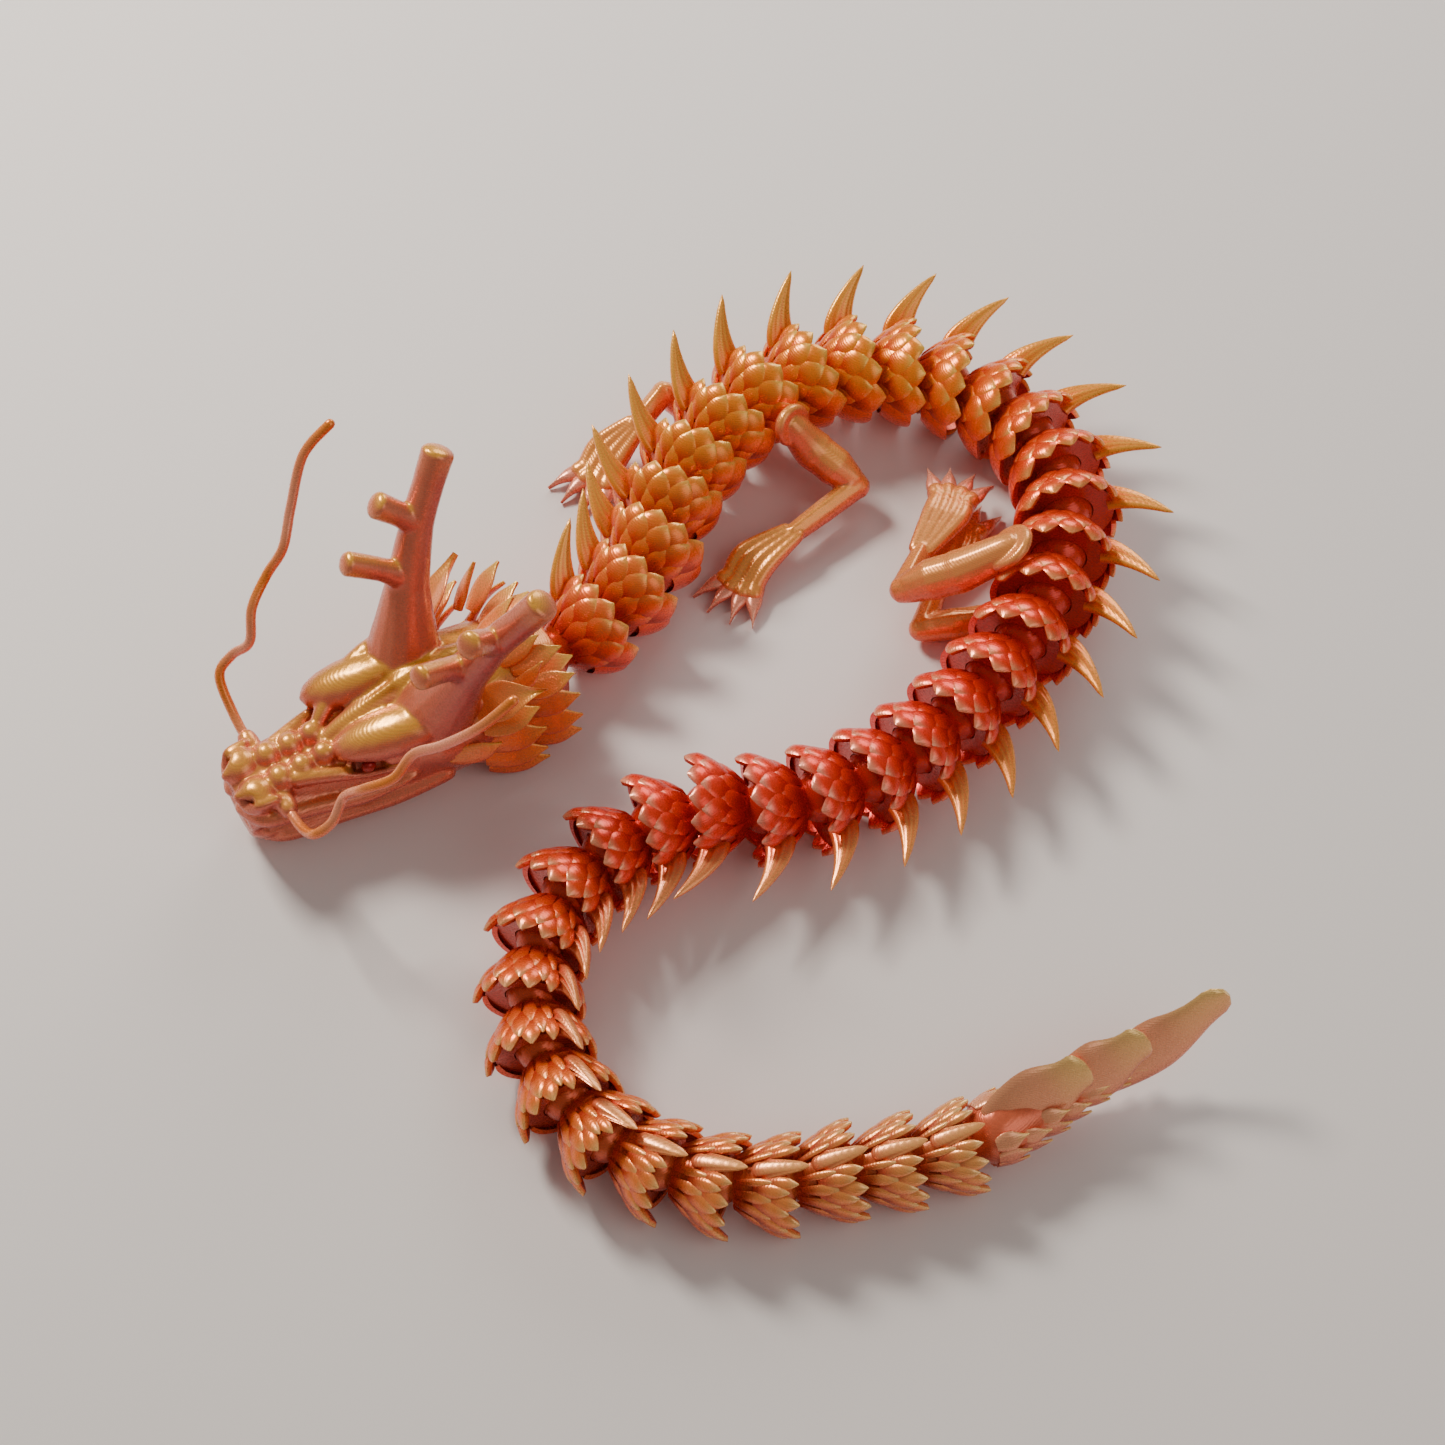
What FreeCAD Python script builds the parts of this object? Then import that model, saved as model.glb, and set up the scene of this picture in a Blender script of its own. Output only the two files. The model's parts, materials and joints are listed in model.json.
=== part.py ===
import FreeCAD, Part
import math
import os

os.makedirs("parts", exist_ok=True)

V = FreeCAD.Vector
X, Y, Z = V(1, 0, 0), V(0, 1, 0), V(0, 0, 1)

# ---------------------------------------------------------------- sizes, mm and degrees
LINK_PITCH = 15.0      # from one ball centre to the next
NECK_RADIUS = 14.6     # centre line to scale tips behind the head
CHEST_RADIUS = 15.2    # the widest links, at the front legs
WAIST_RADIUS = 14.0    # where the tail starts to narrow
TAIL_RADIUS = 10.0     # the last link
CHEST_LINK = 8
WAIST_LINK = 25
BALL_RATIO = 0.54      # ball radius over link radius
BALL_GAP = 0.3         # free space round a ball in its socket
WALL_RATIO = 0.11      # thickness of a skirt's rim over link radius
NECK_ANGLE = 47.0      # the ball stays round this far from the rear axis
LIP_ANGLE = 73.0       # the socket's lip, measured the same way

SPINE_HEIGHT = 0.95    # dorsal spine above the scales, over link radius
SPINE_CHORD = 0.45     # its width at the root, over link radius
SPINE_THICKNESS = 3.2
BELLY_PROUD = 0.035    # how far the belly plate stands out, over link radius
TEETH = 14             # notched scale ends round a rim

WHISKER_RADIUS = 1.35
PLUG_GAP = 0.08        # running fit of whisker plugs and leg pins
PLUG_DEPTH = 5.0
HORN_RADIUS = 4.6
PIN_RADIUS = 2.2       # leg pivot pin
HUB_RADIUS = 4.6
HUB_THICKNESS = 2.4

# ---------------------------------------------------------------- posture
# (links, bend after each link); a bend is positive when the tail side turns left
BENDS = [(3, 11), (3, -8), (3, -15), (3, -17), (3, -17), (3, -9), (3, -6),
         (3, -11), (3, 15), (3, 17), (3, 17), (3, 14), (1, -2), (1, 5), (1, 12)]
FIRST_HEADING = 39.0
HEAD_TURN = 8.0        # how far the neck is bent behind the head
# (link, roll): the dorsal spine leans this far from upright towards the tail's left
ROLLS = [(1, 45), (3, 62), (6, 50), (8, 50), (11, 60), (14, 75), (17, 76), (20, 86),
         (26, 86), (29, 60), (32, 25), (34, 6), (36, 0), (39, 0)]
FRONT_LEG_LINK = 7
REAR_LEG_LINK = 17
LEG_ANGLE = 30.0       # leg pivots sit this far below the middle of the flank
LEG_LIFT = 4.4         # the body rides this much higher over its legs
LIFT_SPREAD = 4        # links over which that fades


def between(stations, at):
    """Straight-line value at a place along (place, value) pairs."""
    for (a, low), (b, high) in zip(stations, stations[1:]):
        if at <= b:
            return low + (high - low) * max(0.0, at - a) / (b - a)
    return stations[-1][1]


TURNS = [turn for count, turn in BENDS for _ in range(count)]
LINKS = len(TURNS)
RADII = [(0, NECK_RADIUS), (CHEST_LINK, CHEST_RADIUS), (WAIST_LINK, WAIST_RADIUS), (LINKS, TAIL_RADIUS)]


def radius_at(joint):
    return between(RADII, joint)


def height_at(joint):
    """Height of a ball centre: its link rests on the floor, or rides over the legs."""
    gaps = [abs(joint + 0.5 - link) for link in (FRONT_LEG_LINK, REAR_LEG_LINK)]
    reach = max(0.0, 1.0 - min(gaps) / (LIFT_SPREAD + 1))
    return (1 + BELLY_PROUD) * radius_at(joint) + LEG_LIFT * math.sin(math.pi / 2 * reach) ** 2


def headings():
    found = [FIRST_HEADING]
    for turn in TURNS[:-1]:
        found.append(found[-1] + turn)
    return found


HEADINGS = headings()
TAIL_HEADING = HEADINGS[-1] + TURNS[-1]


def joint_centres():
    """Ball centres from the neck to the tail, each resting its link on the floor."""
    at = V(0, 0, height_at(0))
    found = [at]
    for number, heading in enumerate(HEADINGS, 1):
        rise = height_at(number) - at.z
        run = math.sqrt(LINK_PITCH ** 2 - rise ** 2)
        angle = math.radians(heading)
        at = at + V(run * math.cos(angle), run * math.sin(angle), rise)
        found.append(at)
    return found


JOINTS = joint_centres()


def frame(origin, along, roll):
    """Placement with +X along the chain and +Z out through the dorsal spine."""
    along = V(along).normalize()
    left = Z.cross(along).normalize()
    up = along.cross(left)
    angle = math.radians(roll)
    dorsal = up * math.cos(angle) + left * math.sin(angle)
    side = dorsal.cross(along)
    rows = FreeCAD.Matrix(along.x, side.x, dorsal.x, origin.x,
                          along.y, side.y, dorsal.y, origin.y,
                          along.z, side.z, dorsal.z, origin.z)
    return FreeCAD.Placement(rows)


def link_frame(number):
    start, end = JOINTS[number - 1], JOINTS[number]
    return frame(start, end - start, between(ROLLS, number))


# ---------------------------------------------------------------- small shapes
def polar(radius, degrees):
    angle = math.radians(degrees)
    return V(radius * math.cos(angle), 0, radius * math.sin(angle))


def turned(edges, sweep=360.0, start=0.0):
    """Solid of revolution about the chain axis from a closed outline in the XZ plane."""
    face = Part.Face(Part.Wire(edges))
    if start:
        face.rotate(V(), X, start)
    return face.revolve(V(), X, sweep)


def line(a, b):
    return Part.LineSegment(a, b).toShape()


def arc(a, through, b):
    return Part.Arc(a, through, b).toShape()


def oval(centre, half_x, half_y):
    """Closed oval wire in a level plane."""
    if half_x >= half_y:
        curve = Part.Ellipse(centre + X * half_x, centre + Y * half_y, centre)
    else:
        curve = Part.Ellipse(centre + Y * half_y, centre - X * half_x, centre)
    return Part.Wire(curve.toShape())


def rod(points, radii):
    """Round rod through points: a cone frustum per stretch with a ball at each bend."""
    pieces = []
    for a, b, ra, rb in zip(points, points[1:], radii, radii[1:]):
        along = b - a
        if abs(ra - rb) < 0.01:
            pieces.append(Part.makeCylinder(ra, along.Length, a, along))
        else:
            pieces.append(Part.makeCone(ra, rb, along.Length, a, along))
    pieces += [Part.makeSphere(r, p) for p, r in zip(points[:-1], radii)]
    pieces.append(Part.makeSphere(radii[-1], points[-1]))
    return pieces[0].multiFuse(pieces[1:])


# ---------------------------------------------------------------- links
def socket_void(radius, at_x):
    """Space that takes the next link's ball and lets it swing, opening to the rear."""
    ball = BALL_RATIO * radius + BALL_GAP
    lip = polar(ball, LIP_ANGLE)
    middle = V(at_x, 0, 0)
    mouth = V(0.22 * radius, 0, (1 - WALL_RATIO) * radius)
    outline = [
        arc(middle + V(-ball, 0, 0), middle + polar(ball, 125), middle + lip),
        line(middle + lip, middle + mouth),
        line(middle + mouth, V(at_x + mouth.x, 0, 0)),
        line(V(at_x + mouth.x, 0, 0), middle + V(-ball, 0, 0)),
    ]
    return turned(outline)


def link_skin(front, rear):
    """Ball, neck and flared skirt as one turned solid, before it is hollowed."""
    ball = BALL_RATIO * front
    neck = polar(ball, NECK_ANGLE)
    shoulder = polar(0.70 * rear / math.sin(math.radians(NECK_ANGLE)), NECK_ANGLE)
    rim = V(LINK_PITCH + 0.22 * rear, 0, rear)
    swell = (shoulder + rim) * 0.5 + V(0, 0, 0.04 * rear)
    outline = [
        arc(V(-ball, 0, 0), polar(ball, 115), neck),
        line(neck, shoulder),
        arc(shoulder, swell, rim),
        line(rim, V(rim.x, 0, 0)),
        line(V(rim.x, 0, 0), V(-ball, 0, 0)),
    ]
    return turned(outline)


def belly_plate(rear):
    """Broad smooth plate standing a little proud along the underside."""
    proud = BELLY_PROUD * rear
    inner = 0.86 * rear
    front_x = 0.74 * rear
    back_x = LINK_PITCH + 0.22 * rear
    outline = [
        line(V(front_x, 0, 0.66 * rear), V(front_x + 1.2, 0, 0.80 * rear + proud)),
        arc(V(front_x + 1.2, 0, 0.80 * rear + proud),
            V((front_x + back_x) / 2 + 0.6, 0, 0.95 * rear + proud), V(back_x, 0, rear + proud)),
        line(V(back_x, 0, rear + proud), V(back_x, 0, (1 - WALL_RATIO) * rear)),
        line(V(back_x, 0, (1 - WALL_RATIO) * rear), V(LINK_PITCH, 0, inner)),
        line(V(LINK_PITCH, 0, inner), V(front_x, 0, 0.66 * rear)),
    ]
    return turned(outline, 76.0, 142.0)


def rim_notches(rear):
    """Vee cuts that part the rim into pointed scale ends, leaving the belly plate whole."""
    depth = 0.24 * rear
    half = rear * math.tan(math.pi / TEETH / 2.4)
    back_x = LINK_PITCH + 0.22 * rear
    wedge = Part.makePolygon([V(back_x - depth, 0, 0.8 * rear), V(back_x + 0.5, half, 0.8 * rear),
                              V(back_x + 0.5, -half, 0.8 * rear), V(back_x - depth, 0, 0.8 * rear)])
    block = Part.Face(wedge).extrude(V(0, 0, 0.4 * rear))
    cuts = []
    for number in range(TEETH):
        angle = (number + 0.5) * 360.0 / TEETH
        if abs(angle - 180.0) > 45.0:
            cut = block.copy()
            cut.rotate(V(), X, angle)
            cuts.append(cut)
    return Part.makeCompound(cuts)


def spine(number, rear):
    """Curved dorsal spine, upright on the body and low and long on the tail."""
    low = between([(26, 0.0), (33, 1.0), (LINKS, 1.0)], number) if number > 26 else 0.0
    height = SPINE_HEIGHT * rear * (1 - 0.80 * low)
    sweep = LINK_PITCH * (0.74 + 0.24 * low)
    chord = SPINE_CHORD * rear * (1 + 0.25 * low)
    root_x = 0.74 * rear + chord / 2 + 0.6
    sections = []
    for step in (0.0, 0.3, 0.65, 1.0):
        narrow = 1 - 0.78 * step ** 1.3
        centre = V(root_x + sweep * step ** 1.5, 0, 0.80 * rear + (height + 0.2 * rear) * step)
        sections.append(oval(centre, chord / 2 * narrow, SPINE_THICKNESS / 2 * narrow))
    return Part.makeLoft(sections, True, False)


def pad_line(rear, side):
    """Centre of a leg pad's face in the link's frame, and the direction out of it."""
    angle = math.radians(LEG_ANGLE)
    out = V(0, side * math.cos(angle), -math.sin(angle))
    return V(LINK_PITCH - 2.3, 0, 0) + out * rear, out


def leg_pad(rear, side):
    """Flat round pad with a blind bore that takes a leg's pin."""
    face, out = pad_line(rear, side)
    depth = 0.34 * rear
    pad = Part.makeCylinder(0.28 * rear, depth, face - out * depth, out)
    bore = Part.makeCylinder(PIN_RADIUS + PLUG_GAP, PLUG_DEPTH, face - out * (PLUG_DEPTH - 0.2), out)
    return pad, bore


def link(number):
    front, rear = radius_at(number - 1), radius_at(number)
    body = link_skin(front, rear)
    adds = [belly_plate(rear), spine(number, rear)]
    bores = []
    if number in (FRONT_LEG_LINK, REAR_LEG_LINK):
        for side in (-1, 1):
            pad, bore = leg_pad(rear, side)
            adds.append(pad)
            bores.append(bore)
    body = body.multiFuse(adds)
    body = body.cut(Part.makeCompound([socket_void(rear, LINK_PITCH), rim_notches(rear)]))
    if bores:
        body = body.cut(Part.makeCompound(bores))
    body = body.removeSplitter()
    body.Placement = link_frame(number)
    return body


# ---------------------------------------------------------------- head
# stations along the head: forward of the neck ball, half width, underside, top
SKULL = [(-3, 11.5, 2.0, 26.0), (10, 16.0, 0.5, 33.0), (28, 19.0, -1.5, 38.0), (44, 17.5, -1.5, 39.0),
         (57, 14.0, -1.5, 34.0), (67, 11.5, -1.0, 28.5), (80, 11.2, 0.5, 29.5), (90, 9.5, 4.5, 27.5)]
# forward, outward, above the floor
HORN = [(34, 11, 33), (27, 17, 54), (20, 22, 68), (9.7, 27.7, 84)]
LOW_TINE = [(27, 17, 55), (42.5, 20.4, 66)]
MID_TINE = [(20, 22, 68), (30, 25, 77)]
EAR = [(14, 15, 30), (6, 22, 36), (0, 27, 40)]
MANE = [(9, 9, 33, -4, 14, 41), (9, 0, 34, -4, 0, 43), (8, 16, 24, -4, 22, 27), (9, 17, 14, -4, 23, 13)]
BROW = [(34, 13, 35), (46, 11.5, 37.5), (60, 5.5, 35)]
WHISKER = [(81, 20, 26), (80, 28, 33), (75, 29.5, 37), (70, 27.5, 42), (66, 32, 49), (59, 36, 54),
           (53, 36.5, 61), (47, 42, 68), (39, 48, 78), (30, 49, 84)]
WHISKER_ROOT = (81, 8.5, 22.6)
FACE_ANGLE = FIRST_HEADING - HEAD_TURN + 180.0


def head_point(spot, side=1):
    """Point of the head given as forward, outward and above the floor."""
    forward, outward, height = spot
    angle = math.radians(FACE_ANGLE)
    across = outward * side
    return V(forward * math.cos(angle) - across * math.sin(angle),
             forward * math.sin(angle) + across * math.cos(angle), height)


def skull():
    rings = []
    for forward, half, low, high in SKULL:
        centre = V(forward, 0, (low + high) / 2)
        tall = (high - low) / 2
        if tall >= half:
            curve = Part.Ellipse(centre + Z * tall, centre + Y * half, centre)
        else:
            curve = Part.Ellipse(centre + Y * half, centre + Z * tall, centre)
        rings.append(Part.Wire(curve.toShape()))
    body = Part.makeLoft(rings, True, False)
    body.rotate(V(), Z, FACE_ANGLE)
    return body


def whisker_axis(side):
    """Line of a whisker's hole, pointing outward from the snout."""
    root, mouth = head_point(WHISKER_ROOT, side), head_point(WHISKER[0], side)
    return root, (mouth - root).normalize()


def head():
    pieces = []
    for side in (-1, 1):
        pieces.append(rod([head_point(p, side) for p in HORN], [5.4, HORN_RADIUS, 4.0, 3.8]))
        pieces.append(rod([head_point(p, side) for p in LOW_TINE], [3.6, 3.2]))
        pieces.append(rod([head_point(p, side) for p in MID_TINE], [3.4, 3.2]))
        pieces.append(rod([head_point(p, side) for p in EAR], [4.4, 3.4, 0.7]))
        pieces.append(rod([head_point(p, side) for p in BROW], [5.0, 4.6, 3.4]))
        for spike in MANE:
            pieces.append(rod([head_point(spike[:3], side), head_point(spike[3:], side)], [3.6, 0.8]))
    body = skull().multiFuse(pieces)
    floor = Part.makeBox(400, 400, 60, V(-200, -200, -60))
    void = socket_void(radius_at(0), 0)
    void.Placement = frame(JOINTS[0], head_point((-1, 0, 0)), 0)
    cuts = [floor, void]
    for side in (-1, 1):
        root, out = whisker_axis(side)
        cuts.append(Part.makeCylinder(WHISKER_RADIUS + PLUG_GAP, 30, root, out))
    return body.cut(Part.makeCompound(cuts)).removeSplitter()


def whisker(side):
    """Wavy rod; its straight root is the plug in the snout."""
    root, out = whisker_axis(side)
    start = root + out * 0.3
    bend = head_point(WHISKER[0], side)
    points = [bend] + [head_point(p, side) for p in WHISKER[1:]]
    curve = Part.BSplineCurve()
    curve.interpolate(points, InitialTangent=out * 12, FinalTangent=(points[-1] - points[-2]))
    path = Part.Wire([line(start, bend), curve.toShape()])
    ring = Part.Wire(Part.Circle(start, out, WHISKER_RADIUS).toShape())
    body = path.makePipeShell([ring], True, True)
    tip = Part.makeSphere(WHISKER_RADIUS, points[-1])
    return body.fuse(tip).removeSplitter()


# ---------------------------------------------------------------- tail tip
# root, knuckle and tip of each fin: behind the last ball, above its centre
TAIL_FINS = [((10, 3), (26, 8), (35, 13)), ((27, 2), (44, 8), (52, 13)), ((42, 0), (62, 6), (75, 17))]


def tail_tip():
    """Last piece: a tapering root on a ball, then three overlapping fins that curl upward."""
    size = radius_at(LINKS)
    ball = BALL_RATIO * size
    neck = polar(ball, NECK_ANGLE)
    shoulder = polar(0.70 * size / math.sin(math.radians(NECK_ANGLE)), NECK_ANGLE)
    outline = [
        arc(V(-ball, 0, 0), polar(ball, 115), neck),
        line(neck, shoulder),
        arc(shoulder, V(12, 0, 0.92 * size), V(22, 0, 0.72 * size)),
        arc(V(22, 0, 0.72 * size), V(38, 0, 0.38 * size), V(54, 0, 0.1 * size)),
        line(V(54, 0, 0.1 * size), V(54, 0, 0)),
        line(V(54, 0, 0), V(-ball, 0, 0)),
    ]
    pieces = [turned(outline)]
    for (x0, z0), (x1, z1), (x2, z2) in TAIL_FINS:
        pieces.append(rod([V(x0, 0, z0), V(x1, 0, z1), V(x2, 0, z2)], [4.6, 4.0, 2.0]))
    body = pieces[0].multiFuse(pieces[1:])
    angle = math.radians(TAIL_HEADING)
    body.Placement = frame(JOINTS[LINKS], V(math.cos(angle), math.sin(angle), 0), 0)
    return body.removeSplitter()


# ---------------------------------------------------------------- legs
# link, side, then the joints after the hub: tail-ward of the hub, outward from the body,
# above the floor, thickness; then which way the toes point and how high the claws are
LEGS = {
    "leg_front_left": (FRONT_LEG_LINK, -1, [(3, 9, 17.0, 4.8), (6, 23, 9.5, 4.0), (-19, 20, 8.5, 3.2),
                                            (-31, 17, 5.5, 3.6)], (-12, 2), 1.0),
    "leg_front_right": (FRONT_LEG_LINK, 1, [(-3, 15, 4.6, 3.6), (-10, 21, 16.0, 3.8), (-22, 21, 11.5, 3.2),
                                            (-31, 23, 6.0, 3.4)], (-14, -2), 1.0),
    "leg_rear_left": (REAR_LEG_LINK, -1, [(6, 14, 24.0, 5.0), (11, 28, 16.0, 4.2), (-5, 27, 13.0, 3.2),
                                          (-19, 24, 12.0, 3.4)], (-15, 0), 9.0),
    "leg_rear_right": (REAR_LEG_LINK, 1, [(7, -12, 4.6, 3.8), (15, -27, 5.4, 4.0), (-3, -26.5, 4.8, 3.1),
                                          (-14, -25, 4.5, 3.2)], (-15, -1), 1.2),
}


def hub_axis(name):
    """Centre of a leg's pad face and the direction out of it."""
    number, side = LEGS[name][:2]
    face, out = pad_line(radius_at(number), side)
    place = link_frame(number)
    return place.multVec(face), place.Rotation.multVec(out)


def leg(name):
    number, side, joints, toe_run, sole = LEGS[name]
    centre, out = hub_axis(name)
    start = centre + out * BALL_GAP
    heading = math.radians(HEADINGS[number - 1])
    along = V(math.cos(heading), math.sin(heading), 0)
    outward = V(-math.sin(heading), math.cos(heading), 0) * side
    pin = Part.makeCylinder(PIN_RADIUS, 4.7, start - out * 4.7, out)
    disc = Part.makeCylinder(HUB_RADIUS, HUB_THICKNESS, start, out)
    points, radii = [start + out * (HUB_THICKNESS + 0.6)], [0.45 * HUB_RADIUS]
    base = V(centre.x, centre.y, 0)
    for run, away, height, radius in joints:
        points.append(base + along * run + outward * away + V(0, 0, height))
        radii.append(radius)
    pieces = [disc, rod(points, radii)]
    palm = points[-1]
    forward = (along * toe_run[0] + outward * toe_run[1]).normalize()
    across = Z.cross(forward)
    for spread in (-1.5, -0.5, 0.5, 1.5):
        toe = (forward + across * spread * 0.34).normalize()
        knuckle = palm + toe * 8.5 + V(0, 0, sole + 2.4 - palm.z)
        claw = palm + toe * 15.5 + V(0, 0, sole - palm.z)
        pieces.append(rod([palm, knuckle, claw], [2.6, 2.3, 0.7]))
    body = pin.multiFuse(pieces)
    floor = Part.makeBox(600, 600, 60, V(-300, -300, -60))
    return body.cut(floor).removeSplitter()


# ---------------------------------------------------------------- build, centre and write
def build_all():
    shapes = {"head": head()}
    shapes["whisker_left"] = whisker(1)
    shapes["whisker_right"] = whisker(-1)
    for number in range(1, LINKS + 1):
        shapes["link_%02d" % number] = link(number)
    shapes["tail_tip"] = tail_tip()
    for name in LEGS:
        shapes[name] = leg(name)
    return shapes


SHAPES = build_all()
BOX = FreeCAD.BoundBox()
for SHAPE in SHAPES.values():
    BOX.add(SHAPE.optimalBoundingBox())
SHIFT = V(-BOX.Center.x, -BOX.Center.y, -BOX.ZMin)

for NODE, SHAPE in SHAPES.items():
    SHAPE.translate(SHIFT)
    SHAPE.exportStep("parts/" + NODE + ".step")
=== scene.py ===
import bpy
import json
import math
import numpy as np
from mathutils import Matrix, Vector


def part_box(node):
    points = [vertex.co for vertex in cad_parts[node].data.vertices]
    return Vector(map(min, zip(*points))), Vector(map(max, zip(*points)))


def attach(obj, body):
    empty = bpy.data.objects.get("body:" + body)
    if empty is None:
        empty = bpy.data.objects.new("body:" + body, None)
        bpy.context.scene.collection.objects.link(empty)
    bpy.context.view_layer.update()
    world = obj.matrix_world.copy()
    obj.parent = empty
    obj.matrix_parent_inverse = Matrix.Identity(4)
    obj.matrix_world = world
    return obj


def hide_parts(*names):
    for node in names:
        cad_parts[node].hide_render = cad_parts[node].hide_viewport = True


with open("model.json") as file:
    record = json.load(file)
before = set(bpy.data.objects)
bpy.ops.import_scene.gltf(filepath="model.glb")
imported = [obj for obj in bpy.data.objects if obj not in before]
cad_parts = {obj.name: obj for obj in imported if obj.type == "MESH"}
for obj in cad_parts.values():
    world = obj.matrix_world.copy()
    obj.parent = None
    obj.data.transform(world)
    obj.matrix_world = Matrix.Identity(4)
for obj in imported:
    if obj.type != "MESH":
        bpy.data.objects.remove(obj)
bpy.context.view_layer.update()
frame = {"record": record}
RECORD = frame["record"]
MM = 0.001             # a millimetre in metres

# ------------------------------------------------------------------ sizes the pieces share, mm
PITCH = 15.0
CHEST_LINK, WAIST_LINK, LINKS = 8, 25, 39
# (joint, link radius there) and (link, degrees its dorsal side leans off upright)
RADII = [(0, 14.6), (CHEST_LINK, 15.2), (WAIST_LINK, 14.0), (LINKS, 10.0)]
ROLLS = [(1, 45), (3, 62), (6, 50), (8, 50), (11, 60), (14, 75), (17, 76), (20, 86),
         (26, 86), (29, 60), (32, 25), (34, 6), (36, 0), (39, 0)]
HEAD_TURN = 8.0        # degrees from the neck's heading to the face's
BALL = 0.54            # ball radius over link radius
SKIRT_START = 0.653    # where the skirt begins, over link radius
SKIRT_REACH = 0.22     # how far it passes the rear ball centre, over link radius
BELLY_HALF = 38.0      # degrees each side of the underside's middle
FLOOR_GAP = 0.05       # nothing reaches lower than this
FRONT_LEG_LINK, REAR_LEG_LINK = 7, 17

JOINTS = {j["name"]: j for j in RECORD["behaviour"]["joints"]}
CENTRES = [Vector(JOINTS["bend_%02d" % k]["pos_m"]) / MM for k in range(LINKS + 1)]


def between(stations, at):
    """Straight-line value, or tuple of values, at a place along (place, value) pairs."""
    for (a, low), (b, high) in zip(stations, stations[1:]):
        if at <= b:
            share = max(0.0, at - a) / (b - a)
            if isinstance(low, tuple):
                return tuple(x + (y - x) * share for x, y in zip(low, high))
            return low + (high - low) * share
    return stations[-1][1]


def smooth(low, high, value):
    """Smoothstep of value from low to high; low may be the larger of the two."""
    share = np.clip((value - low) / (high - low), 0.0, 1.0)
    return share * share * (3 - 2 * share)


def radius_at(joint):
    return between(RADII, joint)


# ------------------------------------------------------------------ colours, linear light
# (link, colour): painted shade for the shaded side, painted light for the side that faces up,
# painted highlights on bright rims, painted light on the dorsal spines
SHADE = [(0, (0.88, 0.045, 0.020)), (5, (0.94, 0.085, 0.010)), (10, (0.94, 0.080, 0.002)),
         (14, (0.92, 0.030, 0.001)), (20, (0.90, 0.014, 0.001)), (27, (0.86, 0.020, 0.004)),
         (32, (0.84, 0.070, 0.020)), (39, (0.84, 0.17, 0.070))]
LIT = [(0, (1.0, 0.16, 0.030)), (5, (1.0, 0.28, 0.012)), (10, (1.0, 0.26, 0.003)),
       (14, (1.0, 0.085, 0.001)), (20, (1.0, 0.034, 0.001)), (27, (1.0, 0.045, 0.004)),
       (32, (1.0, 0.19, 0.015)), (39, (1.0, 0.40, 0.10))]
RIM_HIGHLIGHT = [(0, (1.0, 0.58, 0.12)), (10, (1.0, 0.66, 0.10)), (16, (1.0, 0.44, 0.14)),
       (24, (1.0, 0.48, 0.32)), (32, (1.0, 0.58, 0.18)), (39, (1.0, 0.68, 0.26))]
SPINE_LIT = [(0, (1.0, 0.36, 0.008)), (14, (1.0, 0.38, 0.006)), (19, (1.0, 0.27, 0.015)),
         (24, (0.98, 0.28, 0.10)), (30, (0.92, 0.20, 0.08)), (39, (0.90, 0.27, 0.10))]
# dark colour for painted shade in hollows, under scales, at roots and between toes; also a stand-in
# colour for lumps and tubes that are melted and repainted
DEEP_SHADE = (0.36, 0.006, 0.002)


def mix(a, b, share):
    return tuple(x + (y - x) * share for x, y in zip(a, b))


# ------------------------------------------------------------------ mesh building
class Build:
    """Gathers points in a frame, their two colours, and faces; makes one object."""

    def __init__(self):
        self.points, self.shade, self.lit, self.faces = [], [], [], []

    def grid(self, rows, shade, lit, round_u=False, round_v=False):
        """rows: list of rows of points; colours are one for all, one per row, or one per point."""
        first, height, width = len(self.points), len(rows), len(rows[0])
        for at, row in enumerate(rows):
            self.points += row
            for store, colour in ((self.shade, shade), (self.lit, lit)):
                colour = colour[at] if isinstance(colour, list) else colour
                store += colour if isinstance(colour, list) else [colour] * width
        for u in range(height if round_u else height - 1):
            for v in range(width if round_v else width - 1):
                a, b = u, (u + 1) % height
                c, d = v, (v + 1) % width
                self.faces.append((first + a * width + c, first + a * width + d,
                                   first + b * width + d, first + b * width + c))
        return first

    def cap(self, first, count, flip=False):
        """Closes a ring of count points that starts at point first."""
        ring = list(range(first, first + count))
        self.faces.append(ring[::-1] if flip else ring)

    def object(self, name, matrix=None, sharp=50.0):
        """Makes the mesh object, in metres, with its points pushed up to the floor gap."""
        place = matrix or Matrix.Identity(4)
        mesh = bpy.data.meshes.new(name)
        spots = [place @ Vector(p) for p in self.points]
        placed = [(p.x * MM, p.y * MM, max(p.z, FLOOR_GAP) * MM) for p in spots]
        mesh.from_pydata(placed, [], self.faces)
        paint(mesh, np.array(self.shade), np.array(self.lit))
        mesh.validate()
        mesh.set_sharp_from_angle(angle=math.radians(sharp))
        piece = bpy.data.objects.new(name, mesh)
        bpy.context.scene.collection.objects.link(piece)
        mesh.materials.append(SILK)
        return piece


def paint(mesh, shade, lit):
    """Stores the two colours of every point."""
    for name, colours in (("shade", shade), ("lit", lit)):
        layer = mesh.color_attributes.new(name, "FLOAT_COLOR", "POINT")
        with_alpha = np.c_[colours, np.ones(len(colours))].astype(np.float32)
        layer.data.foreach_set("color", with_alpha.ravel())


# ------------------------------------------------------------------ the silk plastic
LAYER_PAIR, LAYER_WOBBLE = 0.0004, 0.0005     # metres: one light and one dark layer; their waver


def node(tree, kind, **settings):
    made = tree.nodes.new(kind)
    for key, value in settings.items():
        setattr(made, key, value)
    return made


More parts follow.
